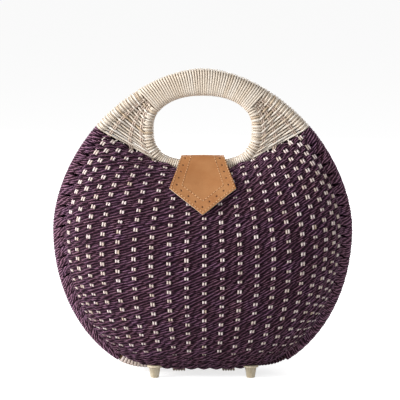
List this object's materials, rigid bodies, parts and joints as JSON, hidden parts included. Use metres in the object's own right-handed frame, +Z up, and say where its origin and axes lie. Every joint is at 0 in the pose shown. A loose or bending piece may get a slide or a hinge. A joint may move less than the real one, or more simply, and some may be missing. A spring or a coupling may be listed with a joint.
{
  "type": "clamshell basket bag",
  "caption": "Round clamshell basket bag of two lashed woven halves, with a cane-wound handle arch over an oval hand opening and a leather flap closure.",
  "frame": {"origin": "centre of the footprint, on the plane under the four feet", "axes": "+X to the viewer's right across the bag's width, -Y towards the front half with the flap, +Z up towards the handle"},
  "size_m": [0.301, 0.126, 0.3066],
  "materials": {
    "plum_cord": "dull twisted paper cord, plum purple",
    "natural_cane": "pale natural cane strand, satin",
    "cane_core": "round cane rod, unfinished",
    "tan_leather": "smooth tan leather, satin, pale cut edges",
    "lining_cloth": "plain dark plum woven cloth",
    "foot_wood": "pale turned wood, satin",
    "magnet_metal": "satin nickel"
  },
  "bodies": {
    "back_shell": {"back_corner_panel_left": "natural_cane", "back_corner_panel_right": "natural_cane", "back_foot_left": "foot_wood", "back_foot_right": "foot_wood", "back_handle_winding": "natural_cane", "back_lining": "lining_cloth", "back_rim_core": "cane_core", "back_rim_corner_wrap_left": "natural_cane", "back_rim_corner_wrap_right": "natural_cane", "back_rim_wrap_bottom": "natural_cane", "back_rim_wrap_left": "plum_cord", "back_rim_wrap_right": "plum_cord", "back_ring_core": "cane_core", "back_ring_wrap": "natural_cane", "back_tab": "tan_leather", "back_woven_shell": "plum_cord", "gusset_left": "lining_cloth", "gusset_right": "lining_cloth", "hinge_lashing_left": "natural_cane", "hinge_lashing_right": "natural_cane"},
    "front_shell": {"front_corner_panel_left": "natural_cane", "front_corner_panel_right": "natural_cane", "front_foot_left": "foot_wood", "front_foot_right": "foot_wood", "front_handle_winding": "natural_cane", "front_lining": "lining_cloth", "front_magnet_plate": "magnet_metal", "front_rim_core": "cane_core", "front_rim_corner_wrap_left": "natural_cane", "front_rim_corner_wrap_right": "natural_cane", "front_rim_wrap_bottom": "natural_cane", "front_rim_wrap_left": "plum_cord", "front_rim_wrap_right": "plum_cord", "front_ring_core": "cane_core", "front_ring_wrap": "natural_cane", "front_woven_shell": "plum_cord"},
    "flap": {"flap_backing": "tan_leather", "flap_magnet": "magnet_metal", "flap_outer": "tan_leather"}
  },
  "joints": [
    {"name": "shell_open", "type": "hinge", "parent": "back_shell", "child": "front_shell", "pos_m": [0, -0.0066, 0.01006], "axis": [1, 0, 0], "range_deg": [0, 45], "deforming": ["gusset_left", "gusset_right", "flap_outer", "flap_backing", "flap_magnet"]},
    {"name": "flap_lift", "type": "hinge", "parent": "back_shell", "child": "flap", "pos_m": [0, 0.0066, 0.2188], "axis": [-1, 0, 0], "range_deg": [0, 95]}
  ]
}
